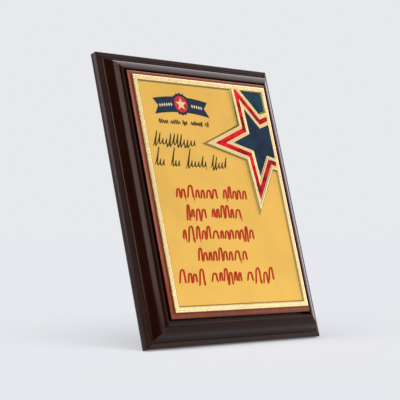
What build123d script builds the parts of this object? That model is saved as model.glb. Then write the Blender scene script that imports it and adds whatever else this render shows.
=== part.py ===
from build123d import *
from math import atan2, cos, radians, sin
import os

# Wooden award plaque that leans back on a hinged easel strut.
#
# Every fixed piece is drawn lying in the board's own frame: X to the right, Y up the
# board, Z out of its front, with the origin at the middle of the bottom back edge.
# stand_up() then tips it back on to that edge. The strut hangs from its pin and is
# drawn straight into the standing frame. All sizes are in millimetres.

# ---------------------------------------------------------------- driving sizes
BOARD_WIDTH = 200.0
BOARD_HEIGHT = 250.0
LEAN = 15.6  # degrees back from upright

# edge moulding
RAIL_WIDTH = 18.6
RABBET_WIDTH = 8.6  # how far the rail laps over the core
SIDE_HEIGHT = 6.8

# core and raised panel
CORE_THICKNESS = 9.0
GLUE_GAP = 0.1
PANEL_WIDTH = 160.8
PANEL_HEIGHT = 210.6
PANEL_CENTRE = (0.8, 126.0)  # set a little high and right, so the gap shows at two sides
PANEL_TOP = 18.8
PANEL_BEVEL = 1.2

# metal plate
PLATE_WIDTH = 154.6
PLATE_HEIGHT = 202.4
PLATE_CENTRE = (0.7, 126.2)
TAPE_THICKNESS = 0.3
SHEET_THICKNESS = 0.5
BORDER_RELIEF = 1.0  # how far the border stands above the field
STAR_RELIEF = 1.5  # and how far the star's ridges do
BORDER_WIDTH = 5.6
BORDER_CREST = 4.0  # width of the border up to the start of its inner slope
WINDOW_INSET = 4.4  # where the enamel stops at the border

# star, cropped by the border at the top and the right
STAR_CENTRE = (58.4, 174.4)
STAR_TIP_RADIUS = 33.1
STAR_NOTCH_RADIUS = 13.3
STAR_TURN = 3.7
RIGHT_NOTCH = 5  # which of the star's ten corners points at the right border
RIGHT_NOTCH_PUSH = 3.5  # how far it is moved out, to lie under that border
INNER_RIDGE = 3.0  # outward offset of the navy star's gold outline
RED_BAND = 7.4  # outward offset of the red band's edge
OUTER_RIDGE = 10.8  # outward offset of the outer gold outline
RIDGE_FLANK = 1.4
ENAMEL_DEPTH = 1.1
CORNER_DEPTH = 0.25

# back
COVER_THICKNESS = 0.6
COVER_INSET = 3.0
NAIL_HEIGHT = 5.5
NAIL_ARM = 5.0
NAIL_INSET = 4.0
NAIL_THICKNESS = 0.6

# strut hinge
PIVOT_UP = 150.0
STRUT_OPENING = 32.0  # angle between the board's back and the open leg
BRACKET_SIZE = (76.0, 38.0)
BRACKET_THICKNESS = 1.0
EAR_INNER = 20.4
EAR_THICKNESS = 1.0
EAR_RADIUS = 4.5
PIN_RADIUS = 1.25
BORE_RADIUS = 1.30
LEG_THICKNESS = 6.0
LEG_TOP_WIDTH = 40.0
LEG_FOOT_WIDTH = 34.0
LEG_CLEARANCE = 0.8  # between the folded leg and the bracket's plate
LEG_HEEL = 10.0
STOP_GAP = 0.02
PAD_THICKNESS = 2.0

# fasteners and small parts of the back
SCREW_POSITIONS = [(-31.0, -13.0), (31.0, -13.0), (-31.0, 13.0), (31.0, 13.0)]
SCREW_RADIUS = 1.5
SCREW_HEAD_RADIUS = 2.8
SCREW_DEPTH = 6.0
POCKET_CLEARANCE = 0.03
HANGER_UP = 222.0
HANGER_NAILS = (-18.0, 18.0)
BUMPER_POSITIONS = [(-80.0, 16.0), (80.0, 16.0)]
BUMPER_RADIUS = 5.0
BUMPER_THICKNESS = 2.0

# levels that follow from the sizes above, measured from the back of the wood
FIELD_LEVEL = PANEL_TOP + TAPE_THICKNESS + SHEET_THICKNESS
BRACKET_TOP = -COVER_THICKNESS - BRACKET_THICKNESS
PIVOT_LEVEL = BRACKET_TOP - LEG_CLEARANCE - LEG_THICKNESS / 2
STRUT_LEAN = STRUT_OPENING - LEAN


# ---------------------------------------------------------------- shared helpers
def outline_face(points):
    """Flat face inside a closed run of straight edges."""
    return make_face(Polyline(*points, close=True))


def slab(width, height, bottom, top, centre=(0.0, 0.0), corner=0.0):
    """Upright rectangular slab between two levels, with optional rounded corners."""
    face = Rectangle(width, height) if corner == 0 else RectangleRounded(width, height, corner)
    return Pos(centre[0], centre[1], bottom) * extrude(face, amount=top - bottom)


def rod(radius, bottom, top, centre=(0.0, 0.0)):
    """Upright round bar between two levels."""
    return Pos(centre[0], centre[1], bottom) * extrude(Circle(radius), amount=top - bottom)


def mitred_bar(section, length, width):
    """Section (X inwards, Y up) run along X, with both ends cut back at 45 degrees."""
    bar = extrude(Plane.YZ * section, amount=length / 2, both=True)
    half = length / 2
    plan = outline_face([(-half, 0), (half, 0), (half - width, width), (width - half, width)])
    return bar & Pos(0, 0, -50) * extrude(plan, amount=100)


def four_sides(section, frame_width, frame_height, bar_width, centre):
    """Bars that close a rectangular frame, in the order bottom, top, left, right."""
    level_bar = mitred_bar(section, frame_width, bar_width)
    upright_bar = mitred_bar(section, frame_height, bar_width)
    middle = Pos(centre[0], centre[1], 0)
    return {
        "bottom": middle * Pos(0, -frame_height / 2, 0) * level_bar,
        "top": middle * Pos(0, frame_height / 2, 0) * Rot(Z=180) * level_bar,
        "left": middle * Pos(-frame_width / 2, 0, 0) * Rot(Z=-90) * upright_bar,
        "right": middle * Pos(frame_width / 2, 0, 0) * Rot(Z=90) * upright_bar,
    }


# ---------------------------------------------------------------- wooden board
def rail_section():
    """Flat outer band, small quirk, ogee, then a lip and a narrow inner ledge."""
    lap = RAIL_WIDTH - RABBET_WIDTH
    outline = [
        Line((0, 0), (0, SIDE_HEIGHT - 0.6)),
        RadiusArc((0, SIDE_HEIGHT - 0.6), (0.6, SIDE_HEIGHT), 0.6),
        Line((0.6, SIDE_HEIGHT), (4.1, 7.7)),
        Line((4.1, 7.7), (4.5, 7.1)),
        Spline(
            (4.5, 7.1),
            (6.9, 9.4),
            (9.6, 13.7),
            (13.0, 16.3),
            (15.8, 17.5),
            tangents=[(1, 0.25), (1, 0.3)],
        ),
        Line((15.8, 17.5), (17.4, 17.8)),
        Line((17.4, 17.8), (17.8, 16.4)),
        Line((17.8, 16.4), (RAIL_WIDTH, 16.7)),
        Line((RAIL_WIDTH, 16.7), (RAIL_WIDTH, CORE_THICKNESS)),
        Line((RAIL_WIDTH, CORE_THICKNESS), (lap, CORE_THICKNESS)),
        Line((lap, CORE_THICKNESS), (lap, 0)),
        Line((lap, 0), (0, 0)),
    ]
    return make_face(Curve() + outline)


def board_rails(nails):
    """The four mitred mouldings, slotted at the back for the V-nails."""
    middle = (0.0, BOARD_HEIGHT / 2)
    sides = four_sides(rail_section(), BOARD_WIDTH, BOARD_HEIGHT, RAIL_WIDTH, middle)
    return {side: bar - nails for side, bar in sides.items()}


def corner_v_nails():
    """Four steel angles, one arm in each rail, driven in flush with the back."""
    arm = NAIL_ARM
    thin = NAIL_THICKNESS
    plan = outline_face([(0, 0), (arm, 0), (arm, thin), (thin, thin), (thin, arm), (0, arm)])
    nail = extrude(plan, amount=NAIL_HEIGHT)
    nails = []
    for right in (-1, 1):
        for up in (-1, 1):
            corner_x = right * (BOARD_WIDTH / 2 - NAIL_INSET)
            corner_y = BOARD_HEIGHT / 2 + up * (BOARD_HEIGHT / 2 - NAIL_INSET)
            turn = {(-1, -1): 0, (1, -1): 90, (1, 1): 180, (-1, 1): 270}[(right, up)]
            nails.append(Pos(corner_x, corner_y, 0) * Rot(Z=turn) * nail)
    return Compound(children=nails)


def core_board(pockets):
    """Fibreboard core in the rails' rabbet, drilled for the screws and nails."""
    side = RAIL_WIDTH - RABBET_WIDTH + GLUE_GAP
    core = slab(
        BOARD_WIDTH - 2 * side,
        BOARD_HEIGHT - 2 * side,
        0,
        CORE_THICKNESS,
        (0, BOARD_HEIGHT / 2),
    )
    return core - pockets


def centre_panel():
    """Raised panel inside the rails, with its front rim bevelled."""
    panel = slab(PANEL_WIDTH, PANEL_HEIGHT, CORE_THICKNESS, PANEL_TOP, PANEL_CENTRE)
    front_rim = panel.faces().sort_by(Axis.Z)[-1].edges()
    return chamfer(front_rim, PANEL_BEVEL)


# ---------------------------------------------------------------- metal plate
def star_face(offset):
    """Five-point star whose edges lie `offset` outside those of the navy star."""
    run = STAR_TIP_RADIUS - STAR_NOTCH_RADIUS * cos(radians(36))
    rise = STAR_NOTCH_RADIUS * sin(radians(36))
    half_tip = atan2(rise, run)
    half_notch = half_tip + radians(36)
    tip = STAR_TIP_RADIUS + offset / sin(half_tip)
    notch = STAR_NOTCH_RADIUS + offset / sin(half_notch)
    points = []
    for step in range(10):
        angle = radians(180 + STAR_TURN + 36 * step)
        reach = tip if step % 2 == 0 else notch
        if step == RIGHT_NOTCH:
            reach += RIGHT_NOTCH_PUSH
        points.append((reach * cos(angle), reach * sin(angle)))
    return Pos(*STAR_CENTRE) * outline_face(points)


def plate_window(inset):
    """Rectangle inside the plate's border."""
    return Pos(*PLATE_CENTRE) * Rectangle(PLATE_WIDTH - 2 * inset, PLATE_HEIGHT - 2 * inset)


def raised(face, bottom, top):
    """A flat face drawn up between two levels."""
    return Pos(0, 0, bottom) * extrude(face, amount=top - bottom)


def border_section():
    """Outer bevel, crest, fine groove, second crest and the slope down to the field."""
    return outline_face(
        [
            (0, -SHEET_THICKNESS),
            (0, 0.2),
            (0.9, BORDER_RELIEF),
            (1.6, BORDER_RELIEF),
            (2.0, BORDER_RELIEF - 0.3),
            (2.4, BORDER_RELIEF),
            (BORDER_CREST, BORDER_RELIEF),
            (BORDER_WIDTH, 0),
            (BORDER_WIDTH, -SHEET_THICKNESS),
        ]
    )


def star_relief():
    """Star-shaped mesa with sloping flanks, cropped where it meets the border."""
    foot = Pos(0, 0, FIELD_LEVEL - 0.1) * star_face(OUTER_RIDGE + RIDGE_FLANK)
    crest = Pos(0, 0, FIELD_LEVEL + STAR_RELIEF) * star_face(OUTER_RIDGE)
    mesa = loft([foot, crest], ruled=True)
    return mesa & raised(plate_window(BORDER_CREST), FIELD_LEVEL - 1, FIELD_LEVEL + 5)


def corner_face():
    """Field cut off between the star's two upper arms and the border's corner."""
    around_star = plate_window(WINDOW_INSET) - star_face(OUTER_RIDGE + RIDGE_FLANK + 0.3)
    return around_star.faces().sort_by(lambda face: face.center().X + face.center().Y)[-1]


def enamel_faces():
    """Outlines of the three enamelled areas."""
    window = plate_window(WINDOW_INSET)
    return {
        "star": star_face(0) & window,
        "band": (star_face(RED_BAND) - star_face(INNER_RIDGE)) & window,
        "corner": corner_face(),
    }


def award_plate(areas):
    """Thin sheet with the raised border and star, and the recesses for the enamel."""
    sheet = slab(
        PLATE_WIDTH,
        PLATE_HEIGHT,
        FIELD_LEVEL - SHEET_THICKNESS,
        FIELD_LEVEL,
        PLATE_CENTRE,
    )
    plate = sheet + star_relief()
    border = four_sides(border_section(), PLATE_WIDTH, PLATE_HEIGHT, BORDER_WIDTH, PLATE_CENTRE)
    for bar in border.values():
        plate += Pos(0, 0, FIELD_LEVEL) * bar
    above = FIELD_LEVEL + STAR_RELIEF + 1
    plate -= raised(areas["star"], FIELD_LEVEL, above)
    plate -= raised(areas["band"], FIELD_LEVEL, above)
    plate -= raised(areas["corner"], FIELD_LEVEL - CORNER_DEPTH, above)
    return plate


def plate_adhesive():
    """Double-sided sheet, a little smaller than the plate."""
    return slab(
        PLATE_WIDTH - 5,
        PLATE_HEIGHT - 5,
        PANEL_TOP,
        PANEL_TOP + TAPE_THICKNESS,
        PLATE_CENTRE,
    )


# ---------------------------------------------------------------- back of the board
def wood_screw(clearance=0.0):
    """Pan-head screw pointing along +Z, with the underside of its head at zero."""
    shank = rod(SCREW_RADIUS + clearance, 0, SCREW_DEPTH)
    tip = Pos(0, 0, SCREW_DEPTH) * Cone(
        SCREW_RADIUS + clearance,
        0.3,
        2.0,
        align=(Align.CENTER, Align.CENTER, Align.MIN),
    )
    if clearance:
        return shank + tip
    head = rod(SCREW_HEAD_RADIUS, -1.6, 0)
    head = fillet(head.edges().sort_by(Axis.Z)[0], 0.9)
    slot = Box(3.2, 0.6, 1.8)
    recess = Pos(0, 0, -1.6) * (slot + Rot(Z=90) * slot)
    return shank + tip + head - recess


def bracket_screws(clearance=0.0):
    """The bracket's four screws, or the holes for them when a clearance is given."""
    screw = wood_screw(clearance)
    placed = [Pos(x, PIVOT_UP + y, BRACKET_TOP) * screw for x, y in SCREW_POSITIONS]
    return Compound(children=placed)


def hanger_nails(clearance=0.0):
    """Two flat-head nails through the hanger's tabs, or the holes for them."""
    tab_top = -COVER_THICKNESS - 0.8
    nail = rod(0.7 + clearance, tab_top, 7.0)
    if not clearance:
        nail += rod(2.0, tab_top - 0.7, tab_top)
    placed = [Pos(x, HANGER_UP + 4.5, 0) * nail for x in HANGER_NAILS]
    return Compound(children=placed)


def hanger_strip():
    """Sawtooth strip whose middle stands clear of the back."""
    near = -COVER_THICKNESS
    far = near - 1.5
    thick = 0.8
    band = [
        (-22, near),
        (-15, near),
        (-13.4, far),
        (13.4, far),
        (15, near),
        (22, near),
        (22, near - thick),
        (15.4, near - thick),
        (13.8, far - thick),
        (-13.8, far - thick),
        (-15.4, near - thick),
        (-22, near - thick),
    ]
    strip = extrude(Plane.XZ * outline_face(band), amount=-9)
    strip = Pos(0, HANGER_UP, 0) * strip
    tooth = outline_face([(-1.2, -0.1), (1.2, -0.1), (0, 2.2)])
    for step in range(-4, 5):
        notch = Pos(step * 2.8, HANGER_UP, far - 5) * extrude(tooth, amount=10)
        strip -= notch
    for x in HANGER_NAILS:
        strip -= rod(0.8, -10, 10, (x, HANGER_UP + 4.5))
    return strip


def back_cover():
    """Thin flocked sheet over the back, pierced for the screws and nails."""
    cover = slab(
        BOARD_WIDTH - 2 * COVER_INSET,
        BOARD_HEIGHT - 2 * COVER_INSET,
        -COVER_THICKNESS,
        0,
        (0, BOARD_HEIGHT / 2),
        corner=3.0,
    )
    for x, y in SCREW_POSITIONS:
        cover -= rod(SCREW_RADIUS + 0.1, -5, 5, (x, PIVOT_UP + y))
    for x in HANGER_NAILS:
        cover -= rod(0.8, -5, 5, (x, HANGER_UP + 4.5))
    return cover


def wall_bumpers():
    """Two round rubber bumpers low on the back."""
    bumper = rod(BUMPER_RADIUS, -COVER_THICKNESS - BUMPER_THICKNESS, -COVER_THICKNESS)
    bumper = fillet(bumper.edges().sort_by(Axis.Z)[0], 0.8)
    return Compound(children=[Pos(x, y, 0) * bumper for x, y in BUMPER_POSITIONS])


def strut_bracket():
    """Steel plate with two ears lanced and bent out of it to carry the pin."""
    plate = slab(*BRACKET_SIZE, BRACKET_TOP, -COVER_THICKNESS, (0, PIVOT_UP), corner=3.0)
    ear_reach = BRACKET_TOP - PIVOT_LEVEL + EAR_RADIUS
    profile = Rectangle(2 * EAR_RADIUS, -COVER_THICKNESS - PIVOT_LEVEL)
    profile = Pos(0, (-COVER_THICKNESS + PIVOT_LEVEL) / 2) * profile
    profile += Pos(0, PIVOT_LEVEL) * Circle(EAR_RADIUS)
    profile -= Pos(0, PIVOT_LEVEL) * Circle(BORE_RADIUS)
    ear = extrude(Plane.YZ * profile, amount=EAR_THICKNESS)
    for side in (-1, 1):
        window_middle = side * (EAR_INNER + EAR_THICKNESS + ear_reach / 2)
        plate -= slab(ear_reach, 2 * EAR_RADIUS + 1, -5, 5, (window_middle, PIVOT_UP))
        ear_start = EAR_INNER if side > 0 else -EAR_INNER - EAR_THICKNESS
        plate += Pos(ear_start, PIVOT_UP, 0) * ear
    for x, y in SCREW_POSITIONS:
        plate -= rod(SCREW_RADIUS + 0.3, -5, 5, (x, PIVOT_UP + y))
    return plate


def strut_pin():
    """Round pin with a low head outside each ear."""
    outside = EAR_INNER + EAR_THICKNESS + 0.1
    pin = rod(PIN_RADIUS, -outside, outside)
    pin += rod(2.4, outside, outside + 0.9)
    pin += rod(2.4, -outside - 0.9, -outside)
    return Pos(0, PIVOT_UP, PIVOT_LEVEL) * Rot(Y=90) * pin


# ---------------------------------------------------------------- strut
def pivot_height():
    """Height of the pin above the table once the board leans back."""
    return PIVOT_UP * cos(radians(LEAN)) + PIVOT_LEVEL * sin(radians(LEAN))


def pivot_depth():
    """Distance of the pin behind the board's bottom back edge."""
    return PIVOT_UP * sin(radians(LEAN)) - PIVOT_LEVEL * cos(radians(LEAN))


def strut_blank():
    """Tapered leg round its pin, swung out to the open angle and too long at the foot."""
    length = pivot_height() / cos(radians(STRUT_LEAN))
    foot = length + 6
    taper = (LEG_TOP_WIDTH - LEG_FOOT_WIDTH) / 2 / length
    foot_half = LEG_TOP_WIDTH / 2 - taper * foot
    top_half = LEG_TOP_WIDTH / 2
    front = outline_face(
        [(-top_half, 0), (-foot_half, -foot), (foot_half, -foot), (top_half, 0)]
    )
    front += outline_face(
        [(-top_half, 0), (top_half, 0), (top_half, LEG_HEEL), (-top_half, LEG_HEEL)]
    )
    leg = extrude(Plane.XZ * front, amount=LEG_THICKNESS / 2, both=True)
    long_edges = leg.edges().filter_by(lambda edge: edge.length > 100)
    leg = chamfer(long_edges, 0.8)
    leg -= Rot(Y=90) * Cylinder(BORE_RADIUS, 2 * LEG_TOP_WIDTH)
    return Pos(0, pivot_depth(), pivot_height()) * Rot(X=STRUT_LEAN) * leg


def strut_leg(blank):
    """The leg above its pad, with its heel bevelled to stop flat on the bracket."""
    heel_stop = slab(80, 80, BRACKET_TOP - STOP_GAP, 60, (0, PIVOT_UP))
    below = Pos(0, 0, PAD_THICKNESS - 50) * Box(200, 400, 100)
    return blank - tip_back(heel_stop) - below


def strut_foot_pad(blank):
    """Rubber pad that carries the leg's outline down to the table."""
    layer = Pos(0, 0, PAD_THICKNESS / 2) * Box(200, 400, PAD_THICKNESS)
    return blank & layer


# ---------------------------------------------------------------- standing up
def tip_back(shape):
    """From the board's own frame to standing on its bottom back edge."""
    return Rot(X=90 - LEAN) * shape


def build_nodes():
    """Every sub-part by name, standing, with the footprint centred on the origin."""
    nails = corner_v_nails()
    rails = board_rails(nails)
    areas = enamel_faces()
    drilling = bracket_screws(POCKET_CLEARANCE) + hanger_nails(POCKET_CLEARANCE)
    enamel_top = FIELD_LEVEL + ENAMEL_DEPTH
    board = {
        "core_board": core_board(drilling),
        "rail_bottom": rails["bottom"],
        "rail_top": rails["top"],
        "rail_left": rails["left"],
        "rail_right": rails["right"],
        "corner_v_nails": nails,
        "centre_panel": centre_panel(),
        "plate_adhesive": plate_adhesive(),
        "award_plate": award_plate(areas),
        "star_enamel": raised(areas["star"], FIELD_LEVEL, enamel_top),
        "band_enamel": raised(areas["band"], FIELD_LEVEL, enamel_top),
        "corner_enamel": raised(areas["corner"], FIELD_LEVEL - CORNER_DEPTH, FIELD_LEVEL + 0.05),
        "back_cover": back_cover(),
        "strut_bracket": strut_bracket(),
        "strut_pin": strut_pin(),
        "bracket_screws": bracket_screws(),
        "hanger_strip": hanger_strip(),
        "hanger_nails": hanger_nails(),
        "wall_bumpers": wall_bumpers(),
    }
    nodes = {name: tip_back(shape) for name, shape in board.items()}
    blank = strut_blank()
    nodes["strut_leg"] = strut_leg(blank)
    nodes["strut_foot_pad"] = strut_foot_pad(blank)
    boxes = [shape.bounding_box() for shape in nodes.values()]
    front = min(box.min.Y for box in boxes)
    rear = max(box.max.Y for box in boxes)
    centred = Pos(0, -(front + rear) / 2, 0)
    return {name: centred * shape for name, shape in nodes.items()}


def main():
    os.makedirs("parts", exist_ok=True)
    for name, shape in build_nodes().items():
        export_step(shape, f"parts/{name}.step")


main()
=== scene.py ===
import math
import random

import bmesh
import bpy
from mathutils import Matrix, Vector


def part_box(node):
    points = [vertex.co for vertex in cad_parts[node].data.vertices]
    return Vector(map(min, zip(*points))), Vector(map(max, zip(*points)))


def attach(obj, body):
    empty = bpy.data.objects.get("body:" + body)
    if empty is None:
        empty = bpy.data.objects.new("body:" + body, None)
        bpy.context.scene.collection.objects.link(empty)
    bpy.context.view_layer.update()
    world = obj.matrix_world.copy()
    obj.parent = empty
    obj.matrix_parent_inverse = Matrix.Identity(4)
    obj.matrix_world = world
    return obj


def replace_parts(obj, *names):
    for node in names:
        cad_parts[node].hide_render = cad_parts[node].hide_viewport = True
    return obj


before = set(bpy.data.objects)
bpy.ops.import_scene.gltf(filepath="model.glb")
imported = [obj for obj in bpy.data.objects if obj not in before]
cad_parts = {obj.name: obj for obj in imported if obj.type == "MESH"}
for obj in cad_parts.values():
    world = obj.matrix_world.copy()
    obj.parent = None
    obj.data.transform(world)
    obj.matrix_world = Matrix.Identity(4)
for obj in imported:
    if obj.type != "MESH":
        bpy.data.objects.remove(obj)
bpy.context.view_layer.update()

# Pieces on the board are made in the board's own frame, in millimetres: X to the right,
# Y up the board, Z out of its front, with the origin at the middle of the bottom back edge.
MM = 0.001
LEAN = math.radians(15.6)
STRUT_OPENING = math.radians(32.0)  # between the board's back and the open leg

# ---------------------------------------------------------------- sizes, as in the CAD
# Levels count from the back of the board, insets from the outline of the piece itself.
BOARD_W = 200.0
BOARD_H = 250.0
RAIL_WIDTH = 18.6
RAIL_LAP = 10.0  # where the rail's rabbet over the core begins
SIDE_HEIGHT = 6.8  # level where the rail's outer side ends
CORE_FRONT = 9.0  # level of the core's front
PANEL_W = 160.8
PANEL_H = 210.6
PANEL_MID = Vector((0.8, 126.0))
PANEL_TOP = 18.8

PLATE_W = 154.6
PLATE_H = 202.4
PLATE_MID = Vector((0.7, 126.2))
PLATE_BACK = 19.1
FIELD = 19.6  # level of the plate's flat field
RIDGE = FIELD + 1.5  # level of the star's ridges
RECESS = FIELD + 0.3  # level of the recesses that hold the enamel
WINDOW_INSET = 4.4  # where the enamel stops at the border
RELIEF_INSET = 4.0  # where the star's ridges run into the border

STAR_MID = Vector((58.4, 174.4))
STAR_TIP = 33.1  # radius of the navy star's tips
STAR_NOTCH = 13.3  # and of its inner corners
STAR_TURN = 3.7  # degrees, counter-clockwise
RIGHT_NOTCH = 5  # the star's corner that is moved out under the right border
RIGHT_NOTCH_PUSH = 3.5
RED_OUTER = 7.4  # edges of the red band, outside the navy star's
RED_INNER = 3.0
STAR_FOOT = 12.2  # and the foot of the star's relief

EDGE_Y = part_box("rail_left")[1].y / MM - BOARD_H * math.sin(LEAN)  # the board's bottom back edge
BOARD = Matrix.Translation((0, EDGE_Y * MM, 0)) @ Matrix.Rotation(math.pi / 2 - LEAN, 4, "X")
BOARD_TURN = (LEAN - math.pi / 2, 0, 0)  # brings standing coordinates back to the board's
STRUT_TURN = (LEAN - STRUT_OPENING, 0, 0)  # and to the strut's length at rest
SHARP_ANGLE = math.radians(30)  # edges that turn more than this are shaded sharp
TENTH = 36  # degrees between neighbouring corners of a five-point star, tips and notches


# ---------------------------------------------------------------- mesh helpers
def add_object(name, data):
    """Puts a mesh, light or camera in the scene."""
    obj = bpy.data.objects.new(name, data)
    bpy.context.scene.collection.objects.link(obj)
    return obj


def make_piece(name, verts, faces, materials, slot, face_materials=None):
    """A mesh given in board millimetres, stood up, shaded and tied to its body; the slot argument
    is not used.
    """
    mesh = bpy.data.meshes.new(name)
    mesh.from_pydata([BOARD @ (Vector(v) * MM) for v in verts], [], faces)
    for material in materials:
        mesh.materials.append(material)
    if face_materials:
        mesh.polygons.foreach_set("material_index", face_materials)
    bm = bmesh.new()
    bm.from_mesh(mesh)
    bmesh.ops.recalc_face_normals(bm, faces=bm.faces)
    bm.to_mesh(mesh)
    bm.free()
    mesh.polygons.foreach_set("use_smooth", [True] * len(mesh.polygons))
    mesh.set_sharp_from_angle(angle=SHARP_ANGLE)
    obj = add_object(name, mesh)
    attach(obj, "board")
    return obj


def loft(rings, closed=False):
    """Vertices and quads joining equal rings; an open run gets a cap at each end."""
    verts = [point for ring in rings for point in ring]
    count = len(rings[0])
    faces = []
    rows = len(rings) if closed else len(rings) - 1
    for row in range(rows):
        here = row * count
        there = (row + 1) % len(rings) * count
        for i in range(count):
            j = (i + 1) % count
            faces.append((here + i, here + j, there + j, there + i))
    if not closed:
        faces.append(tuple(range(count))[::-1])
        faces.append(tuple(range(len(verts) - count, len(verts))))
    return verts, faces


def gather(shapes):
    """Many meshes as one list of vertices and faces."""
    verts, faces = [], []
    for more_verts, more_faces in shapes:
        start = len(verts)
        verts += more_verts
        faces += [tuple(start + i for i in face) for face in more_faces]
    return verts, faces


def at_level(outline, z):
    """A flat outline as a ring of points at one level."""
    return [(p[0], p[1], z) for p in outline]


def polar(middle, radius, degrees):
    """Point at a distance and an angle from the middle."""
    angle = math.radians(degrees)
    return middle + radius * Vector((math.cos(angle), math.sin(angle)))


def offset_polygon(points, distance):
    """Counter-clockwise outline with every edge moved outward, corners kept sharp."""
    sharpest = 0.2  # keeps the point of a very sharp corner from running away
    moved = []
    count = len(points)
    for i in range(count):
        before, here, after = points[i - 1], points[i], points[(i + 1) % count]
        u = (here - before).normalized()
        v = (after - here).normalized()
        normal_u = Vector((u.y, -u.x))
        normal_v = Vector((v.y, -v.x))
        bisector = (normal_u + normal_v).normalized()
        moved.append(here + bisector * (distance / max(sharpest, bisector.dot(normal_u))))
    return moved


def rounded_rectangle(middle, width, height, corner, steps=4):
    """Counter-clockwise rectangle, each corner an arc of the given number of steps."""
    outline = []
    for quarter, (sx, sy) in enumerate([(1, 1), (-1, 1), (-1, -1), (1, -1)]):
        pivot = middle + Vector((sx * (width / 2 - corner), sy * (height / 2 - corner)))
        for step in range(steps + 1):
            outline.append(polar(pivot, corner, 90 * (quarter + step / steps)))
    return outline


def hermite(points, first, last, steps):
    """Smooth curve through the points, with given end tangents."""
    points = [Vector(p) for p in points]
    tangents = [Vector(first)]
    tangents += [(points[i + 1] - points[i - 1]) / 2 for i in range(1, len(points) - 1)]
    tangents.append(Vector(last))
    curve = [points[0]]
    for i in range(len(points) - 1):
        for k in range(1, steps + 1):
            t = k / steps
            a = 2 * t**3 - 3 * t**2 + 1
            b = t**3 - 2 * t**2 + t
            c = -2 * t**3 + 3 * t**2
            d = t**3 - t**2
            curve.append(a * points[i] + b * tangents[i] + c * points[i + 1] + d * tangents[i + 1])
    return curve


# ---------------------------------------------------------------- material helpers
# A Mix node's colour sockets share their names with its number sockets, so these are
# their places in its lists of inputs and outputs.
MIX_A = 6
MIX_B = 7
MIX_RESULT = 2


class NodeTree:
    """Short calls for the nodes used here, in a material or in the world."""

    def __init__(self, tree):
        self.nodes = tree.nodes
        self.links = tree.links

    def node(self, kind, **settings):
        node = self.nodes.new(kind)
        for key, value in settings.items():
            setattr(node, key, value)
        return node

    def link(self, out, into):
        self.links.new(out, into)

    def spread(self, value, low, high, from_low=0.3, from_high=0.7):
        """Stretches a value from one range to another, and stops at its ends."""
        node = self.node("ShaderNodeMapRange")
        node.inputs["From Min"].default_value = from_low
        node.inputs["From Max"].default_value = from_high
        node.inputs["To Min"].default_value = low
        node.inputs["To Max"].default_value = high
        self.link(value, node.inputs["Value"])
        return node.outputs["Result"]

    def mix(self, factor, a, b, mode="MIX"):
        """Blends two colours; each argument is a value or another node's output."""
        node = self.node("ShaderNodeMix", data_type="RGBA", blend_type=mode)
        sockets = (node.inputs["Factor"], node.inputs[MIX_A], node.inputs[MIX_B])
        for socket, value in zip(sockets, (factor, a, b)):
            if hasattr(value, "links"):
                self.link(value, socket)
            elif isinstance(value, (int, float)):
                socket.default_value = value
            else:
                socket.default_value = (*value, 1)
        return node.outputs[MIX_RESULT]


class Shader(NodeTree):
    """A Principled material with procedural textures in the board's millimetres."""

    def __init__(self, name):
        self.material = bpy.data.materials.new(name)
        self.material.use_nodes = True
        super().__init__(self.material.node_tree)
        self.bsdf = self.nodes["Principled BSDF"]

    def set(self, **values):
        """Sets sockets of the Principled shader, named with _ for a space."""
        for key, value in values.items():
            self.bsdf.inputs[key.replace("_", " ")].default_value = value

    def to(self, socket, out):
        """Feeds a node's output into a socket of the Principled shader."""
        self.link(out, self.bsdf.inputs[socket])

    def coords(self, scale, turn=BOARD_TURN, shift=(0, 0, 0)):
        """Object coordinates turned and shifted, then scaled to millimetres, evenly or by axis."""
        scales = scale if isinstance(scale, tuple) else (scale, scale, scale)
        source = self.node("ShaderNodeTexCoord")
        turned = self.node("ShaderNodeMapping")
        turned.inputs["Rotation"].default_value = turn
        turned.inputs["Location"].default_value = shift
        scaled = self.node("ShaderNodeMapping")
        scaled.inputs["Scale"].default_value = [part / MM for part in scales]
        self.link(source.outputs["Object"], turned.inputs["Vector"])
        self.link(turned.outputs["Vector"], scaled.inputs["Vector"])
        return scaled.outputs["Vector"]

    def noise(self, vector, scale=1.0, detail=3.0, roughness=0.5, distortion=0.0):
        """Cloudy values round a half."""
        node = self.node("ShaderNodeTexNoise")
        node.inputs["Scale"].default_value = scale
        node.inputs["Detail"].default_value = detail
        node.inputs["Roughness"].default_value = roughness
        node.inputs["Distortion"].default_value = distortion
        self.link(vector, node.inputs["Vector"])
        return node.outputs["Fac"]

    def ramp(self, value, stops):
        """Colour that runs through the (position, colour) stops as the value rises."""
        node = self.node("ShaderNodeValToRGB")
        while len(node.color_ramp.elements) < len(stops):
            node.color_ramp.elements.new(0.5)
        for element, (position, colour) in zip(node.color_ramp.elements, stops):
            element.position = position
            element.color = (*colour, 1)
        self.link(value, node.inputs["Fac"])
        return node.outputs["Color"]

    def bump(self, layers):
        """Bump from (height, strength, distance in mm) layers, one on the other."""
        last = None
        for height, strength, distance in layers:
            node = self.node("ShaderNodeBump")
            node.inputs["Strength"].default_value = strength
            node.inputs["Distance"].default_value = distance * MM
            self.link(height, node.inputs["Height"])
            if last is not None:
                self.link(last, node.inputs["Normal"])
            last = node.outputs["Normal"]
        self.to("Normal", last)


# ---------------------------------------------------------------- materials
LACQUER_TINT = (1.0, 0.8, 0.75, 1.0)
GRAIN_STRETCH = 0.035  # scale along the grain, against 1 across it
PORE_SHADE = (0.35, 0.35, 0.35)
NO_SHADE = (1.0, 1.0, 1.0)


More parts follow.
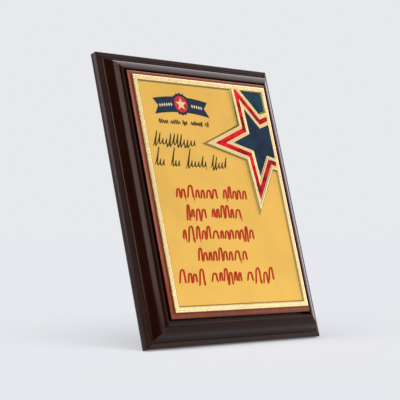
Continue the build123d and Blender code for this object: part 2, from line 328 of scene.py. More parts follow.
def lacquered_wood(
    name, dark, light, along, gloss=0.12, turn=BOARD_TURN, seed=0.0, shine=0.39
):
    """Stained wood under warm lacquer: long streaks, pores, and a faint orange peel."""
    shader = Shader(name)
    shader.set(IOR=1.36, Specular_IOR_Level=shine, Specular_Tint=LACQUER_TINT)
    grain = tuple(GRAIN_STRETCH if axis == along else 1.0 for axis in "XYZ")
    fine_grain = tuple(4 * part for part in grain)
    across = shader.coords(grain, turn, (seed, seed, 0))
    streaks = shader.noise(across, scale=0.55, detail=6.0, roughness=0.62, distortion=1.4)
    pores = shader.noise(shader.coords(fine_grain, turn, (0, 0, seed)), scale=1.6)
    clouds = shader.noise(shader.coords(0.02, turn, (seed, 0, seed)), detail=2.0)
    peel = shader.noise(shader.coords(0.35, turn), detail=2.0)
    middle = tuple((a + b) / 2 for a, b in zip(dark, light))
    base = shader.ramp(streaks, [(0.3, dark), (0.52, middle), (0.72, light)])
    cloudy = shader.mix(shader.spread(clouds, 0.0, 0.5), base, dark)
    pore_mask = shader.ramp(pores, [(0.3, PORE_SHADE), (0.42, NO_SHADE)])
    shader.to("Base Color", shader.mix(1.0, cloudy, pore_mask, "MULTIPLY"))
    shader.to("Roughness", shader.spread(pores, gloss + 0.1, gloss))
    shader.bump([(streaks, 0.12, 0.05), (peel, 0.1, 0.05)])
    return shader.material


def gold_metal(name, colour, rough, brushed=0.0, hammered=0.0):
    """Gold tone that shifts slowly, with a fine grain, brushed lines and shallow dents."""
    shader = Shader(name)
    shader.set(Metallic=1.0)
    haze = shader.noise(shader.coords(0.03))
    fine = shader.noise(shader.coords(1.2), detail=4.0, roughness=0.6)
    lines = shader.noise(shader.coords((0.02, 3.0, 3.0)), roughness=0.6)
    dents = shader.noise(shader.coords(0.6), detail=2.0, distortion=0.6)
    darker = tuple(part * 0.94 for part in colour)
    pale = tuple(min(1.0, part * 1.03) for part in colour)
    shader.to("Base Color", shader.ramp(haze, [(0.32, darker), (0.5, colour), (0.7, pale)]))
    shader.to("Roughness", shader.spread(fine, *rough))
    shader.bump([(dents, hammered, 0.3), (fine, 0.06, 0.02), (lines, brushed, 0.02)])
    return shader.material


def enamel(name, base, darker, scale, depth=0.36):
    """Poured glossy enamel, darker in slow random pools that are painted shade; a higher `depth`
    darkens more of it.
    """
    shader = Shader(name)
    shader.set(Coat_Weight=0.5, Coat_Roughness=0.04, Coat_IOR=1.3, Specular_IOR_Level=0.0)
    painted_shade_pools = shader.noise(shader.coords(scale), roughness=0.55, distortion=0.8)
    specks = shader.noise(shader.coords(1.5), detail=2.0)
    # The darker colour in the pools is painted shade.
    shader.to("Base Color", shader.ramp(painted_shade_pools, [(depth, darker), (depth + 0.2, base)]))
    shader.to("Roughness", shader.spread(specks, 0.12, 0.22))
    shader.bump([(painted_shade_pools, 0.15, 0.08), (specks, 0.05, 0.01)])
    return shader.material


def ink(name, base, thin):
    """Screen-printed ink: satin, a little thinner in patches."""
    shader = Shader(name)
    shader.set(IOR=1.45, Specular_IOR_Level=0.12)
    coverage = shader.noise(shader.coords(0.6))
    grain = shader.noise(shader.coords(6.0), detail=2.0)
    shader.to("Base Color", shader.ramp(coverage, [(0.35, base), (0.75, thin)]))
    shader.to("Roughness", shader.spread(grain, 0.35, 0.5))
    shader.bump([(grain, 0.1, 0.01)])
    return shader.material


def flock(name):
    """Black flocked sheet: matt short fibres whose nap lies in faint bands."""
    shader = Shader(name)
    shader.set(Sheen_Weight=0.35, Sheen_Roughness=0.5, IOR=1.4, Specular_IOR_Level=0.2)
    fibres = shader.noise(shader.coords(5.0), detail=4.0, roughness=0.7)
    nap = shader.noise(shader.coords((0.05, 0.09, 0.07)), distortion=0.8)
    stops = [(0.35, (0.008, 0.008, 0.009)), (0.65, (0.03, 0.03, 0.032))]
    shader.to("Base Color", shader.ramp(shader.mix(0.4, fibres, nap), stops))
    shader.to("Roughness", shader.spread(fibres, 0.85, 1.0))
    shader.bump([(fibres, 0.6, 0.15)])
    return shader.material


def zinc(name):
    """Zinc-plated steel with a mottled plating and faint rolling lines."""
    shader = Shader(name)
    shader.set(Metallic=1.0)
    spangle = shader.noise(shader.coords(0.25), detail=2.0)
    lines = shader.noise(shader.coords((3.0, 0.06, 0.3)), detail=4.0, roughness=0.65)
    stops = [(0.3, (0.46, 0.47, 0.48)), (0.7, (0.7, 0.7, 0.69))]
    shader.to("Base Color", shader.ramp(spangle, stops))
    shader.to("Roughness", shader.spread(lines, 0.28, 0.5))
    shader.bump([(lines, 0.12, 0.02)])
    return shader.material


def rubber(name):
    """Black rubber, dusty in patches."""
    shader = Shader(name)
    shader.set(IOR=1.5, Specular_IOR_Level=0.3)
    grain = shader.noise(shader.coords(3.0), detail=4.0, roughness=0.6)
    dust = shader.noise(shader.coords(0.15))
    stops = [(0.35, (0.012, 0.012, 0.012)), (0.75, (0.045, 0.043, 0.04))]
    shader.to("Base Color", shader.ramp(dust, stops))
    shader.to("Roughness", shader.spread(grain, 0.6, 0.85))
    shader.bump([(grain, 0.35, 0.06)])
    return shader.material


def fibreboard(name):
    """Raw brown fibreboard."""
    shader = Shader(name)
    fibres = shader.noise(shader.coords(1.5), detail=6.0, roughness=0.75)
    stops = [(0.3, (0.24, 0.15, 0.085)), (0.7, (0.46, 0.32, 0.2))]
    shader.to("Base Color", shader.ramp(fibres, stops))
    shader.to("Roughness", shader.spread(fibres, 0.75, 0.95))
    shader.bump([(fibres, 0.5, 0.1)])
    return shader.material


def adhesive(name):
    """White foam sheet with fine cells."""
    shader = Shader(name)
    cells = shader.noise(shader.coords(2.0), roughness=0.6)
    stops = [(0.3, (0.75, 0.75, 0.72)), (0.7, (0.88, 0.88, 0.86))]
    shader.to("Base Color", shader.ramp(cells, stops))
    shader.to("Roughness", shader.spread(cells, 0.5, 0.8))
    shader.bump([(cells, 0.4, 0.05)])
    return shader.material


ESPRESSO = ((0.01, 0.0016, 0.0006), (0.029, 0.0062, 0.003))  # dark and light streaks
REDWOOD = ((0.2, 0.034, 0.014), (0.4, 0.09, 0.036))
BLACK_STAIN = ((0.008, 0.007, 0.007), (0.03, 0.026, 0.024))
wood_level = lacquered_wood("espresso_level", *ESPRESSO, "X", seed=0.013)
wood_upright = lacquered_wood("espresso_upright", *ESPRESSO, "Y", seed=0.37)
redwood = lacquered_wood("redwood", *REDWOOD, "Y", seed=0.71, shine=0.6)
strut_wood = lacquered_wood("strut_black", *BLACK_STAIN, "Z", gloss=0.38, turn=STRUT_TURN)

gold_field = gold_metal("gold_field", (0.86, 0.52, 0.115), rough=(0.32, 0.38), brushed=0.03)
gold_polished = gold_metal("gold_polished", (0.95, 0.73, 0.36), rough=(0.2, 0.3))
gold_border = gold_metal("gold_border", (0.95, 0.74, 0.38), rough=(0.16, 0.28), hammered=0.9)
# A darker, olive copy of the gold for the outer edges and slopes: painted shade.
gold_painted_shade = gold_metal("gold_painted_shade", (0.36, 0.25, 0.08), rough=(0.34, 0.46))

# Each enamel's second colour is the painted shade of its darker pools.
navy = enamel("enamel_navy", (0.017, 0.04, 0.076), (0.012, 0.026, 0.052), scale=0.05)
teal = enamel("enamel_teal", (0.011, 0.06, 0.08), (0.01, 0.026, 0.046), scale=0.06)
red = enamel("enamel_red", (0.95, 0.01, 0.02), (0.16, 0.003, 0.012), scale=0.1, depth=0.37)

ink_red = ink("ink_red", (0.46, 0.022, 0.004), (0.56, 0.05, 0.012))
ink_black = ink("ink_black", (0.028, 0.018, 0.006), (0.06, 0.04, 0.012))
ink_navy = ink("ink_navy", (0.011, 0.024, 0.05), (0.017, 0.036, 0.066))
ink_crimson = ink("ink_crimson", (0.6, 0.02, 0.03), (0.66, 0.05, 0.05))
ink_cream = ink("ink_cream", (0.85, 0.75, 0.5), (0.9, 0.8, 0.55))

flocked = flock("flocked_black")
zinc_steel = zinc("zinc_steel")
black_rubber = rubber("black_rubber")
core_fibre = fibreboard("fibreboard")
tape = adhesive("adhesive_sheet")


def finish_node(name, material):
    """A CAD node that keeps its shape and gets its finish here."""
    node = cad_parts[name]
    node.data.materials.clear()
    node.data.materials.append(material)


finish_node("core_board", core_fibre)
finish_node("corner_v_nails", zinc_steel)
finish_node("plate_adhesive", tape)
finish_node("back_cover", flocked)
finish_node("strut_bracket", zinc_steel)
finish_node("strut_pin", zinc_steel)
finish_node("bracket_screws", zinc_steel)
finish_node("strut_leg", strut_wood)
finish_node("strut_foot_pad", black_rubber)
finish_node("hanger_strip", zinc_steel)
finish_node("hanger_nails", zinc_steel)
finish_node("wall_bumpers", black_rubber)


# ---------------------------------------------------------------- rails
MITRE_WIDTH = 0.32  # half the width of the hairline V at a mitre
MITRE_DEPTH = 0.22


def rail_profile():
    """Closed section of the moulding: X inwards from the edge, Y up from the back."""
    rounding = 0.6
    steps = 5
    pivot = Vector((rounding, SIDE_HEIGHT - rounding))
    back_arris = [(0.3, 0), (0.09, 0.09), (0, 0.3)]
    front_arris = [polar(pivot, rounding, 180 - 90 * step / steps) for step in range(steps + 1)]
    fillet_and_quirk = [(3.8, 7.62), (4.05, 7.6), (4.2, 7.5), (4.45, 7.3)]
    ogee = [(4.6, 7.27), (6.9, 9.4), (9.6, 13.7), (13.0, 16.3), (15.8, 17.5)]
    crest = [(17.0, 17.7), (17.25, 17.66), (17.4, 17.5), (17.75, 16.45)]
    inner_step = [(18.4, 16.5), (18.55, 16.42), (RAIL_WIDTH, 16.2)]
    rabbet = [(RAIL_WIDTH, CORE_FRONT), (RAIL_LAP, CORE_FRONT), (RAIL_LAP, 0)]
    profile = back_arris + front_arris + fillet_and_quirk
    profile += hermite(ogee, first=(2.2, 0.6), last=(3.0, 0.9), steps=8)
    profile += crest + inner_step + rabbet
    return [Vector(p) for p in profile[::-1]]


def rail(name, length, placement, material):
    """One mitred moulding, with a hairline V where it meets its neighbours."""
    profile = rail_profile()
    shrunk = offset_polygon(profile, -MITRE_DEPTH)
    ends = [
        (-1, shrunk, 0.0),
        (-1, profile, MITRE_WIDTH),
        (1, profile, MITRE_WIDTH),
        (1, shrunk, 0.0),
    ]
    rings = []
    for side, outline, back in ends:
        rings.append([(side * (length / 2 - inward - back), inward, z) for inward, z in outline])
    verts, faces = loft(rings)
    verts = [placement @ Vector(v) for v in verts]
    return make_piece(name, verts, faces, [material], "espresso_lacquer")


def build_rails():
    """Four mouldings of one section, each turned to its side of the board."""
    half_w, half_h = BOARD_W / 2, BOARD_H / 2
    sides = [
        ("rail_bottom", BOARD_W, (0, 0, 0), 0, wood_level),
        ("rail_top", BOARD_W, (0, BOARD_H, 0), 180, wood_level),
        ("rail_left", BOARD_H, (-half_w, half_h, 0), -90, wood_upright),
        ("rail_right", BOARD_H, (half_w, half_h, 0), 90, wood_upright),
    ]
    for name, length, middle, turn, material in sides:
        placement = Matrix.Translation(middle) @ Matrix.Rotation(math.radians(turn), 4, "Z")
        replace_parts(rail(name + "_moulding", length, placement, material), name)


# ---------------------------------------------------------------- raised panel
def build_panel():
    """Raised panel: a dark espresso edge with a thin undercut, then a redwood bevel and top; the
    darkness of the edge is partly painted shade for the gap round the panel.
    """
    edge = [  # inset, level, corner radius
        (0.15, CORE_FRONT, 0.2),
        (0.0, CORE_FRONT + 0.2, 0.3),
        (0.0, PANEL_TOP - 1.6, 0.3),
        (0.3, PANEL_TOP - 1.5, 0.3),
        (0.3, PANEL_TOP - 1.2, 0.3),
    ]
    bevel = [
        (0.05, PANEL_TOP - 1.1, 0.4),
        (1.0, PANEL_TOP - 0.2, 0.9),
        (1.25, PANEL_TOP - 0.04, 1.0),
        (1.5, PANEL_TOP, 1.1),
    ]
    rings = []
    for inset, z, corner in edge + bevel:
        outline = rounded_rectangle(PANEL_MID, PANEL_W - 2 * inset, PANEL_H - 2 * inset, corner)
        rings.append(at_level(outline, z))
    verts, faces = loft(rings)
    # The edge faces take the darker espresso, partly as painted shade.
    dark_edge_faces = (len(edge) - 1) * len(rings[0])
    indices = [1] * dark_edge_faces + [0] * (len(faces) - dark_edge_faces)
    finishes = [redwood, wood_upright]
    panel = make_piece("raised_panel", verts, faces, finishes, "redwood_lacquer", indices)
    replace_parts(panel, "centre_panel")


# ---------------------------------------------------------------- plate
def star_outline(offset):
    """Sharp five-point star, its edges `offset` outside the navy star's."""
    rise = STAR_NOTCH * math.sin(math.radians(TENTH))
    run = STAR_TIP - STAR_NOTCH * math.cos(math.radians(TENTH))
    half_tip = math.atan2(rise, run)
    half_notch = half_tip + math.radians(TENTH)
    tip = STAR_TIP + offset / math.sin(half_tip)
    notch = STAR_NOTCH + offset / math.sin(half_notch)
    outline = []
    for step in range(10):
        reach = tip if step % 2 == 0 else notch
        if step == RIGHT_NOTCH:
            reach += RIGHT_NOTCH_PUSH
        outline.append(polar(STAR_MID, reach, 180 + STAR_TURN + TENTH * step))
    return outline


def crop_to_window(verts, faces, inset):
    """Cuts a closed mesh off at the border's inner lines and closes the cuts."""
    mesh = bpy.data.meshes.new("crop")
    mesh.from_pydata([Vector(v) for v in verts], [], faces)
    bm = bmesh.new()
    bm.from_mesh(mesh)
    bmesh.ops.recalc_face_normals(bm, faces=bm.faces)
    right = PLATE_MID.x + PLATE_W / 2 - inset
    top = PLATE_MID.y + PLATE_H / 2 - inset
    for point, normal in (((right, 0, 0), (1, 0, 0)), ((0, top, 0), (0, 1, 0))):
        cut = bmesh.ops.bisect_plane(
            bm,
            geom=bm.verts[:] + bm.edges[:] + bm.faces[:],
            plane_co=point,
            plane_no=normal,
            clear_outer=True,
        )
        cut_edges = [item for item in cut["geom_cut"] if isinstance(item, bmesh.types.BMEdge)]
        rim = [edge for edge in cut_edges if edge.is_boundary]
        bmesh.ops.holes_fill(bm, edges=rim, sides=0)
    bmesh.ops.remove_doubles(bm, verts=bm.verts, dist=0.001)
    bmesh.ops.triangulate(bm, faces=[f for f in bm.faces if len(f.verts) > 4])
    bm.to_mesh(mesh)
    cropped_verts = [v.co.copy() for v in bm.verts]
    cropped_faces = [tuple(v.index for v in f.verts) for f in bm.faces]
    bm.free()
    bpy.data.meshes.remove(mesh)
    return cropped_verts, cropped_faces


def build_plate_sheet():
    """Thin sheet whose border has two crests and slopes down to a groove round the field; the
    border's outer edge and inner slope are in a darker gold that is painted shade.
    """
    edge = [  # inset, level
        (0.15, PLATE_BACK),
        (0.0, PLATE_BACK + 0.15),
        (0.0, FIELD + 0.55),
        (0.25, FIELD + 0.77),
    ]
    crests = [
        (0.6, FIELD + 0.88),
        (1.0, FIELD + 0.97),
        (1.5, FIELD + 0.99),
        (2.1, FIELD + 0.82),
        (2.7, FIELD + 0.99),
        (3.3, FIELD + 1.0),
        (4.2, FIELD + 0.94),
    ]
    slope = [
        (4.7, FIELD + 0.72),
        (5.0, FIELD + 0.35),
        (5.2, FIELD + 0.02),
        (5.35, FIELD - 0.12),
        (5.45, FIELD),
        (5.6, FIELD),
    ]
    rings = []
    for inset, z in edge + crests + slope:
        corner = 0.25 if inset < 1 else 0.12
        outline = rounded_rectangle(PLATE_MID, PLATE_W - 2 * inset, PLATE_H - 2 * inset, corner, 3)
        rings.append(at_level(outline, z))
    verts, faces = loft(rings)
    around = len(rings[0])
    # The edge and the slope take the darker gold of painted shade, the crests the border gold.
    indices = [0] * (len(edge) - 1) * around
    indices += [1] * len(crests) * around
    indices += [0] * len(slope) * around
    indices += [0, 2]  # the back and the field
    finishes = [gold_painted_shade, gold_border, gold_field]
    return make_piece("plate_sheet", verts, faces, finishes, "gold_plate", indices)


def build_star_flanks():
    """The slope that climbs from the field to the star's outer ridge, in a darker olive gold that
    is painted shade.
    """
    flank = [
        (STAR_FOOT, FIELD - 0.2),
        (STAR_FOOT, FIELD),
        (STAR_FOOT - 1.25, RIDGE - 0.1),
        (STAR_FOOT - 1.45, RIDGE - 0.02),
        (STAR_FOOT - 1.6, RIDGE - 0.1),
        (STAR_FOOT - 1.6, FIELD - 0.2),
    ]
    rings = [at_level(star_outline(offset), z) for offset, z in flank]
    verts, faces = crop_to_window(*loft(rings, closed=True), RELIEF_INSET)
    make_piece("plate_star_flanks", verts, faces, [gold_painted_shade], "gold_plate")


def ridge_groove(offset):
    """Shallow V along a ridge."""
    return [(offset + 0.3, RIDGE), (offset, RIDGE - 0.35), (offset - 0.3, RIDGE)]


def build_star_ridges():
    """The two polished outlines of the star, with the recesses for the enamel between them."""
    crest = [
        (STAR_FOOT - 1.62, FIELD + 0.2),
        (STAR_FOOT - 1.62, RIDGE - 0.08),
        (STAR_FOOT - 1.8, RIDGE),
        *ridge_groove(RED_OUTER + 1.2),
        (RED_OUTER + 0.15, RIDGE),
        (RED_OUTER, RIDGE - 0.1),
        (RED_OUTER, RECESS),
        (RED_INNER, RECESS),
        (RED_INNER, RIDGE - 0.1),
        (RED_INNER - 0.12, RIDGE),
        *ridge_groove(1.2),
        (0.12, RIDGE),
        (0.0, RIDGE - 0.1),
        (0.0, RECESS),
    ]
    rings = [at_level(star_outline(offset), z) for offset, z in crest]
    verts, faces = crop_to_window(*loft(rings), RELIEF_INSET)
    make_piece("plate_star_ridges", verts, faces, [gold_polished], "gold_plate")


def build_plate():
    """The plate: its sheet, and the star's flanks and ridges that stand on it."""
    plate = build_plate_sheet()
    build_star_flanks()
    build_star_ridges()
    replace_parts(plate, "award_plate")


# ---------------------------------------------------------------- enamel
ENAMEL_GAP = 0.02  # all round, between an enamel fill and its recess
FILL_BACK = RECESS + 0.02
FILL_RIM = FIELD + 1.2  # the fills rise from here to a low dome
FILL_TOP = FIELD + 1.32


def build_star_enamel():
    """Navy fill of the star."""
    dome = [
        (-ENAMEL_GAP, FILL_BACK),
        (-ENAMEL_GAP, FILL_RIM),
        (-0.3, FILL_RIM + 0.06),
        (-1.5, FILL_TOP - 0.02),
        (-4.0, FILL_TOP),
    ]
    rings = [at_level(star_outline(offset), z) for offset, z in dome]
    verts, faces = crop_to_window(*loft(rings), WINDOW_INSET)
    star = make_piece("navy_star_fill", verts, faces, [navy], "enamel_navy")
    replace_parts(star, "star_enamel")


def build_band_enamel():
    """Red fill of the band round the star."""
    outer, inner = RED_OUTER - ENAMEL_GAP, RED_INNER + ENAMEL_GAP
    band = [
        (outer, FILL_BACK),
        (outer, FILL_RIM),
        (outer - 0.3, FILL_RIM + 0.06),
        ((outer + inner) / 2, FILL_TOP),
        (inner + 0.3, FILL_RIM + 0.06),
        (inner, FILL_RIM),
        (inner, FILL_BACK),
    ]
    rings = [at_level(star_outline(offset), z) for offset, z in band]
    verts, faces = crop_to_window(*loft(rings, closed=True), WINDOW_INSET)
    ring = make_piece("red_band_fill", verts, faces, [red], "enamel_red")
    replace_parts(ring, "band_enamel")


def crossing(a, b, axis, value):
    """Point where the line a-b reaches the given value on an axis."""
    t = (value - a[axis]) / (b[axis] - a[axis])
    return a + t * (b - a)


def build_corner_enamel():
    """Fill between the star's two upper arms and the corner of the border."""
    clearance = 0.3
    outline = star_outline(STAR_FOOT + clearance)
    right = PLATE_MID.x + PLATE_W / 2 - WINDOW_INSET
    top = PLATE_MID.y + PLATE_H / 2 - WINDOW_INSET
    notch = max(outline[1::2], key=lambda p: p.x + p.y)
    at = outline.index(notch)
    lower = crossing(notch, outline[at - 1], 0, right)
    upper = crossing(notch, outline[(at + 1) % 10], 1, top)
    corner = [notch, lower, Vector((right, top)), upper]
    steps = [(0.0, FIELD - 0.15), (0.0, FIELD + 0.12), (0.4, FIELD + 0.2)]
    rings = [at_level(offset_polygon(corner, -inset), z) for inset, z in steps]
    fill = make_piece("navy_corner_fill", *loft(rings), [teal], "enamel_navy")
    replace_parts(fill, "corner_enamel")


# ---------------------------------------------------------------- printing
INK_LOW = FIELD - 0.03
INK_TOP = FIELD + 0.05
INK_RISE = 0.03  # a stroke climbs this much from start to end, so crossings stay apart

# The lines of print: a baseline's height, and the left and right end of each word.
RED_LINES = [
    (121.2, [(-52.5, -4.5), (1.0, 30.0)]),
    (104.2, [(-44.5, -21.5), (-16.0, 19.5)]),
    (85.8, [(-53.0, 29.5)]),
    (67.2, [(-41.0, 16.5)]),
    (49.4, [(-66.5, -36.5), (-31.0, 5.0), (10.0, 44.0)]),
]
SCRIPT_LINES = [
    (167.2, [(-67.0, -17.5)]),
    (148.6, [(-69.5, -56.5), (-52.5, -39.5), (-35.0, -9.5), (-7.0, 13.5)]),
]
SMALL_LINE = (185.9, [(-56.5, -45.5), (-43.5, -32.0), (-30.0, -24.0), (-20.5, -6.5), (-4.5, 1.0)])

# Three hands. A pen is its thin and thick widths and the angle of its nib in radians.
# Height and pitch are those of one wave, gap the space between short runs of waves, and
# scribble() says what the rest do.
RED_HAND = {
    "pen": (1.35, 2.3, 0.6),
    "height": 7.0,
    "pitch": 6.0,
    "gap": 1.3,
    "slant": 0.14,
    "square": 2.2,
    "reach": 0.5,
    "dip": 0.4,
    "loops": -0.05,
}
SCRIPT_HAND = {
    "pen": (0.6, 1.5, 0.6),
    "height": 4.8,
    "pitch": 3.9,
    "slant": 0.4,
    "square": 0.8,
    "reach": 1.0,
    "dip": 0.5,
    "loops": 0.14,
    "capital": 1.3,
}
SMALL_HAND = {
    "pen": (0.5, 0.85, 0.6),
    "height": 2.7,
    "pitch": 2.1,
    "slant": 0.12,
    "square": 1.2,
    "reach": 0.4,
    "dip": 0.3,
}
RUN_LENGTHS = (0.8, 1.0, 1.6, 2.0)  # in pitches


def stroke(points, widths):
    """A closed ribbon of ink along a path."""
    rings = []
    count = len(points)
    for i, point in enumerate(points):
        before, after = points[max(0, i - 1)], points[min(count - 1, i + 1)]
        direction = (after - before).normalized()
        side = Vector((-direction.y, direction.x)) * widths[i] / 2
        left, right = point + side, point - side
        top = INK_TOP + INK_RISE * i / count
        rings.append([(*left, INK_LOW), (*left, top), (*right, top), (*right, INK_LOW)])
    return loft(rings)


def pen_widths(points, thin, thick, nib):
    """Broad-nib widths: thickest across the nib's angle, tapered at both ends."""
    tapered_points = 5
    widths = []
    count = len(points)
    for i in range(count):
        step = points[min(count - 1, i + 1)] - points[max(0, i - 1)]
        turn = abs(math.sin(math.atan2(step.y, step.x) - nib))
        from_end = min(i, count - 1 - i)
        taper = min(1.0, (from_end + 1.5) / tapered_points)
        widths.append((thin + (thick - thin) * turn) * taper)
    return widths


def mostly_even(count, rng, chance, far, low, high):
    """Values between low and high, with a far one now and then."""
    return [far if rng.random() < chance else rng.uniform(low, high) for _ in range(count)]


def scribble(
    start, width, height, pitch, rng, slant, square, reach, dip, loops=0.0, capital=0.0
):
    """Letterless wave that fills a word's space, with a few taller and lower strokes.

    `slant` leans the whole wave, `square` flattens its tops, `reach` and `dip` are how far
    the odd stroke goes above and below the rest, `loops` swings the strokes to and fro, and
    `capital` is the first stroke's extra height.
    """
    waves = max(1, round(width / pitch))
    points_per_wave = 20
    extras = mostly_even(waves + 1, rng, chance=0.3, far=reach, low=-0.08, high=0.1)
    dips = mostly_even(waves + 1, rng, chance=0.16, far=-dip, low=-0.03, high=0.06)
    peaks = [1.0 + extra for extra in extras]
    peaks[0] += capital
    points = []
    for k in range(waves * points_per_wave + 1):
        turn = k / points_per_wave
        index = min(waves, int(turn))
        phase = 2 * math.pi * turn
        swing = math.tanh(square * -math.cos(phase)) / math.tanh(square)
        level = (swing + 1) / 2
        y = height * (dips[index] * (1 - level) + peaks[index] * level)
        x = width * turn / waves + loops * math.sin(phase) * height + slant * y
        points.append(start + Vector((x, y)))
    return points


def clusters(left, right, pitch, gap, rng):
    """Cuts a word's space into short runs with small gaps between them."""
    spans = []
    start = left
    while start < right - pitch / 2:
        end = start + pitch * rng.choice(RUN_LENGTHS) - gap
        if right - end < pitch * min(RUN_LENGTHS):
            end = right
        spans.append((start, end))
        start = end + gap
    return spans


def print_line(name, line, material, slot, seed, pen, height, pitch, slant, gap=0.0, **shape):
    """One line of letterless strokes in a hand's pen and shape."""
    rng = random.Random(seed)
    baseline, words = line
    strokes = []
    for left, right in words:
        right -= slant * height
        spans = clusters(left, right, pitch, gap, rng) if gap else [(left, right)]
        for start, end in spans:
            corner = Vector((start, baseline))
            path = scribble(corner, end - start, height, pitch, rng, slant, **shape)
            strokes.append(stroke(path, pen_widths(path, *pen)))
    make_piece(name, *gather(strokes), [material], slot)


def build_printing():
    """All the print but the emblem, every line with its own seed."""
    for number, line in enumerate(RED_LINES, 1):
        name = f"print_red_line_{number}"
        print_line(name, line, ink_red, "ink_red", 40 + number, **RED_HAND)
    for number, line in enumerate(SCRIPT_LINES, 1):
        name = f"print_script_line_{number}"
        print_line(name, line, ink_black, "ink_black", 70 + number, **SCRIPT_HAND)
    print_line("print_small_line", SMALL_LINE, ink_black, "ink_black", 90, **SMALL_HAND)


# ---------------------------------------------------------------- printed emblem
EMBLEM_MID = Vector((-27.5, 203.4))
ROSETTE_MID = EMBLEM_MID + Vector((0.0, 0.9))
ROSETTE_RADIUS = 9.8
RIBBON_ARCH = 3.0  # how far the ribbon's middle is bent up
INK_LAYER = 0.03  # each colour lies this much above the one under it


def flat_print(outline, low=INK_LOW, top=INK_TOP):
    """Closed thin layer of ink inside an outline."""
    return loft([at_level(outline, low), at_level(outline, top)])


def arched(points):
    """Places a flat drawing on the emblem and bends it up in the middle."""
    unbent = 30.0  # the distance from the middle where the bend has fallen to nothing
    return [EMBLEM_MID + Vector((x, y + RIBBON_ARCH * (1 - (x / unbent) ** 2))) for x, y in points]


def ribbon_outline(half_width, low, high, notch):
    """Swallow-tailed ribbon, counter-clockwise, with enough points to be bent."""
    steps = 16
    xs = [-half_width + 2 * half_width * i / steps for i in range(steps + 1)]
    lower = [(x, low) for x in xs]
    upper = [(x, high) for x in reversed(xs)]
    middle = (low + high) / 2
    return lower + [(half_width - notch, middle)] + upper + [(-half_width + notch, middle)]


def disc(middle, radius):
    """Round outline."""
    steps = 48
    return [polar(middle, radius, 360 * i / steps) for i in range(steps)]


def scalloped_disc(middle, radius, depth, scallops):
    """Round outline with a wavy edge."""
    steps = 6 * scallops
    outline = []
    for i in range(steps):
        bulge = depth * math.cos(2 * math.pi * scallops * i / steps)
        outline.append(polar(middle, radius + bulge, 360 * i / steps))
    return outline


def small_star(middle, tip, notch):
    """Upright five-point star."""
    return [polar(middle, notch if step % 2 else tip, 90 + TENTH * step) for step in range(10)]


def bead_row():
    """Small diamonds along the ribbon, on both sides of the rosette."""
    start, pitch, count = -24.0, 2.6, 19
    half_width, half_height, level = 0.9, 1.8, -2.6
    clearance = 0.7
    beads = []
    for i in range(count):
        x = start + pitch * i
        if abs(x) > ROSETTE_RADIUS + clearance:
            diamond = [
                (x, level - half_height),
                (x + half_width, level),
                (x, level + half_height),
                (x - half_width, level),
            ]
            beads.append(flat_print(arched(diamond), INK_TOP, INK_TOP + INK_LAYER))
    return gather(beads)


def build_emblem():
    """Generic rosette on a swallow-tailed ribbon."""
    ribbon = flat_print(arched(ribbon_outline(half_width=31.0, low=-9.5, high=4.5, notch=5.0)))
    scallops = scalloped_disc(ROSETTE_MID, ROSETTE_RADIUS, depth=0.5, scallops=16)
    navy_parts = gather([ribbon, flat_print(scallops, top=INK_TOP + INK_LAYER)])
    make_piece("print_emblem_navy", *navy_parts, [ink_navy], "enamel_navy")
    red_disc = flat_print(disc(ROSETTE_MID, radius=7.4), INK_TOP, INK_TOP + 2 * INK_LAYER)
    make_piece("print_emblem_red", *red_disc, [ink_crimson], "ink_red")
    star_shape = small_star(ROSETTE_MID, tip=6.0, notch=2.5)
    star = flat_print(star_shape, INK_TOP, INK_TOP + 3 * INK_LAYER)
    make_piece("print_emblem_gold", *star, [gold_polished], "gold_plate")
    make_piece("print_emblem_beads", *bead_row(), [ink_cream], "gold_plate")


# ---------------------------------------------------------------- floor, light, camera
PALE = (0.799, 0.815, 0.847)
CEILING = (0.05, 0.05, 0.055)
UP = (0, 0, 1)
DARK_SIDE = (-0.97, -0.25, 0.0)
FLOOR_REACH = 80.0

# The view: turned to the right of straight ahead, a little upwards, from the front left.
CAMERA_YAW = math.radians(42.7)
CAMERA_RISE = math.radians(1.62)
CAMERA_FROM_EDGE = Vector((-0.7425, -0.7627, 0.0905))  # from the board's bottom back edge
CAMERA_LENS = 114.1


def build_floor():
    """Plain pale floor that runs on into the background; it also glows faintly, painted light that
    evens it out and lightens the shadows on it.
    """
    mesh = bpy.data.meshes.new("studio_floor")
    signs = ((-1, -1), (1, -1), (1, 1), (-1, 1))
    corners = [(sx * FLOOR_REACH, sy * FLOOR_REACH, 0) for sx, sy in signs]
    mesh.from_pydata(corners, [], [(0, 1, 2, 3)])
    floor = add_object("studio_floor", mesh)
    shader = Shader("studio_floor")
    shader.set(Base_Color=(0.5, 0.505, 0.53, 1), Roughness=0.9, Specular_IOR_Level=0.0)
    # The glow is painted light: it keeps the floor even and its shadows faint.
    shader.set(Emission_Color=(*PALE, 1), Emission_Strength=0.42)
    mesh.materials.append(shader.material)


def build_world():
    """Pale round the horizon, dark overhead and to the left, for lacquer and metal to show."""
    world = bpy.data.worlds.new("studio")
    bpy.context.scene.world = world
    world.use_nodes = True
    sky = NodeTree(world.node_tree)
    direction = sky.node("ShaderNodeTexCoord").outputs["Generated"]

    def fade(axis, start, end):
        """From one to nought as the view's component along an axis goes from start to end."""
        along = sky.node("ShaderNodeVectorMath", operation="DOT_PRODUCT")
        along.inputs[1].default_value = axis
        sky.link(direction, along.inputs[0])
        return sky.spread(along.outputs["Value"], 1.0, 0.0, start, end)

    both = sky.node("ShaderNodeMath", operation="MULTIPLY")
    sky.link(fade(UP, start=0.2, end=0.3), both.inputs[0])
    sky.link(fade(DARK_SIDE, start=0.3, end=0.75), both.inputs[1])
    colour = sky.mix(both.outputs["Value"], CEILING, PALE)
    sky.link(colour, sky.nodes["Background"].inputs["Color"])


def aim_back(light, direction):
    """Turns a light so that it shines from the given direction."""
    light.rotation_euler = Vector(direction).to_track_quat("Z", "Y").to_euler()


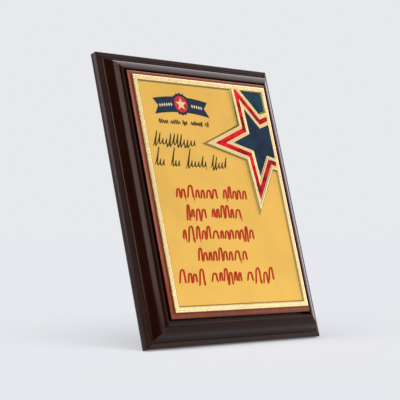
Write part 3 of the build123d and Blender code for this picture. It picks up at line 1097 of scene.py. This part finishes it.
def sun(name, direction, spread, irradiance, colour=(1, 1, 1)):
    """A broad soft light a long way off, in the given direction from the object."""
    data = bpy.data.lights.new(name, "SUN")
    data.angle = math.radians(spread)
    data.energy = irradiance
    data.color = colour
    light = add_object(name, data)
    aim_back(light, direction)
    return light


def panel_light(name, place, aim, width, height, power):
    """A rectangular softbox close to the object."""
    data = bpy.data.lights.new(name, "AREA")
    data.shape = "RECTANGLE"
    data.size = width
    data.size_y = height
    data.energy = power
    light = add_object(name, data)
    light.location = place
    aim_back(light, Vector(place) - Vector(aim))
    return light


def reflected_only(light):
    """Keeps a softbox to what gloss and metal show of it."""
    light.visible_diffuse = False
    light.visible_camera = False


def build_lights():
    """One overhead softbox lights the scene; the others only show in lacquer and metal."""
    warm_white = (1.0, 0.99, 0.97)
    pinkish = (1.0, 0.93, 0.95)
    pink = (1.0, 0.8, 0.9)
    right = sun("softbox_right", (0.68, -0.61, 0.41), spread=70, irradiance=0.82, colour=warm_white)
    overhead = sun("softbox_overhead", (-0.45, -0.3, 0.84), spread=80, irradiance=3.15)
    overhead.visible_glossy = False
    rim_top = sun("rim_top", (0.68, 0.24, 0.69), spread=62, irradiance=1.5, colour=pinkish)
    rim_right = sun("rim_right", (0.97, 0.1, 0.2), spread=50, irradiance=0.7, colour=pink)
    rim_left = sun("rim_left", (-0.66, 0.71, 0.2), spread=24, irradiance=0.3)
    front = panel_light(
        "softbox_front",
        place=(-0.54, -0.67, 0.6),
        aim=(-0.09, -0.01, 0.14),
        width=0.45,
        height=0.5,
        power=2.7,
    )
    for light in (right, rim_top, rim_right, rim_left, front):
        reflected_only(light)


def build_camera():
    """Long lens, from the front left of the plaque."""
    data = bpy.data.cameras.new("camera")
    data.lens = CAMERA_LENS
    data.sensor_width = 36.0
    camera = add_object("camera", data)
    camera.location = Vector((0, EDGE_Y * MM, 0)) + CAMERA_FROM_EDGE
    camera.rotation_euler = (math.pi / 2 + CAMERA_RISE, 0, -CAMERA_YAW)
    bpy.context.scene.camera = camera


# ---------------------------------------------------------------- the whole scene
build_rails()
build_panel()
build_plate()
build_star_enamel()
build_band_enamel()
build_corner_enamel()
build_printing()
build_emblem()
build_floor()
build_world()
build_lights()
build_camera()
bpy.context.scene.view_settings.view_transform = "Standard"
